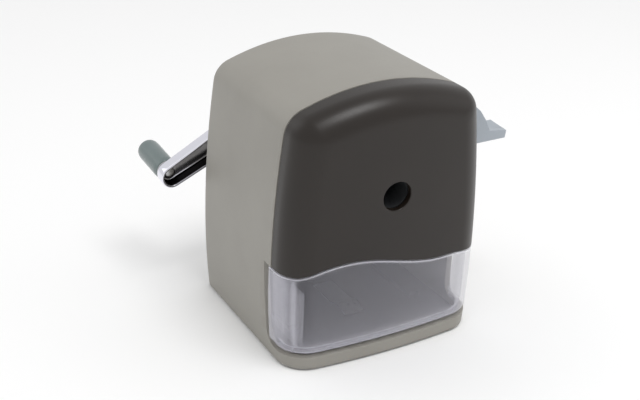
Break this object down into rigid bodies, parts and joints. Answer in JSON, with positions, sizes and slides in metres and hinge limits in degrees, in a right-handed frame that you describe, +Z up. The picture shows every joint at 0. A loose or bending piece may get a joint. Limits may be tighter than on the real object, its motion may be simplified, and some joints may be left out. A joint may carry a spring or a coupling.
{
  "type": "pencil sharpener",
  "caption": "Desk-top crank pencil sharpener with a helical cutter head, a clear pull-out shavings drawer, a side thumb lever and a rear crank with a turning knob.",
  "frame": {"origin": "middle of the grip pad's underside, on the surface that the sharpener stands on", "axes": "+Z up; -Y towards the user, where the pencil hole and the drawer face; +X to the user's right, where the thumb lever is"},
  "size_m": [0.113, 0.1187, 0.1018],
  "materials": {
    "grey_abs": "fine satin moulded ABS, warm grey",
    "dark_abs": "semi-gloss moulded ABS, dark brown-grey",
    "clear_styrene": "clear moulded polystyrene, slightly smoky",
    "pale_nylon": "satin moulded acetal, cool light grey",
    "inner_nylon": "moulded nylon, near black",
    "chromed_steel": "pressed steel, bright plated",
    "plain_steel": "turned steel",
    "tool_steel": "ground and hardened steel",
    "zinc_casting": "die-cast zinc alloy, as cast",
    "black_rubber": "moulded rubber"
  },
  "bodies": {
    "housing": {"main_housing": "grey_abs", "front_cover": "dark_abs", "base_plate": "dark_abs", "grip_pad": "black_rubber", "base_screw_left": "plain_steel", "base_screw_right": "plain_steel", "drawer_runner_left": "dark_abs", "drawer_runner_right": "dark_abs", "drawer_detent": "plain_steel", "mechanism_frame": "inner_nylon", "frame_screw_1": "plain_steel", "frame_screw_2": "plain_steel", "frame_screw_3": "plain_steel", "frame_screw_4": "plain_steel", "pencil_guide": "inner_nylon", "ring_gear": "pale_nylon", "rear_bush": "pale_nylon"},
    "drawer": {"shavings_drawer": "clear_styrene"},
    "crank": {"cutter_carrier": "zinc_casting", "tip_stop": "plain_steel", "cutter_axle": "plain_steel", "crank_shaft": "plain_steel", "shaft_washer": "plain_steel", "crank_spacer": "pale_nylon", "crank_arm": "chromed_steel", "crank_screw": "plain_steel", "knob_washer": "plain_steel", "knob_pin": "plain_steel"},
    "cutter": {"helical_cutter": "tool_steel", "cutter_pinion": "plain_steel"},
    "knob": {"crank_knob": "pale_nylon"},
    "lever": {"lock_lever": "pale_nylon"}
  },
  "joints": [
    {"name": "crank_turn", "type": "hinge", "parent": "housing", "child": "crank", "pos_m": [0, -0.04145, 0.0644], "axis": [0, 0.998, 0.0628], "continuous": true},
    {"name": "cutter_spin", "type": "hinge", "parent": "crank", "child": "cutter", "pos_m": [0, 0.03558, 0.06925], "axis": [0, 0.9928, -0.1201], "continuous": true},
    {"name": "knob_spin", "type": "hinge", "parent": "crank", "child": "knob", "pos_m": [-0.0474, -0.03993, 0.04029], "axis": [0, 0.998, 0.0628], "continuous": true},
    {"name": "drawer_slide", "type": "slide", "parent": "housing", "child": "drawer", "axis": [0, -1, 0], "range_m": [0, 0.045]},
    {"name": "lever_turn", "type": "hinge", "parent": "housing", "child": "lever", "pos_m": [0, -0.04145, 0.0644], "axis": [0, 0.998, 0.0628], "range_deg": [0, 14]}
  ],
  "couplings": [
    {"joint": "cutter_spin", "follows": "crank_turn", "ratio": -3.1667}
  ]
}
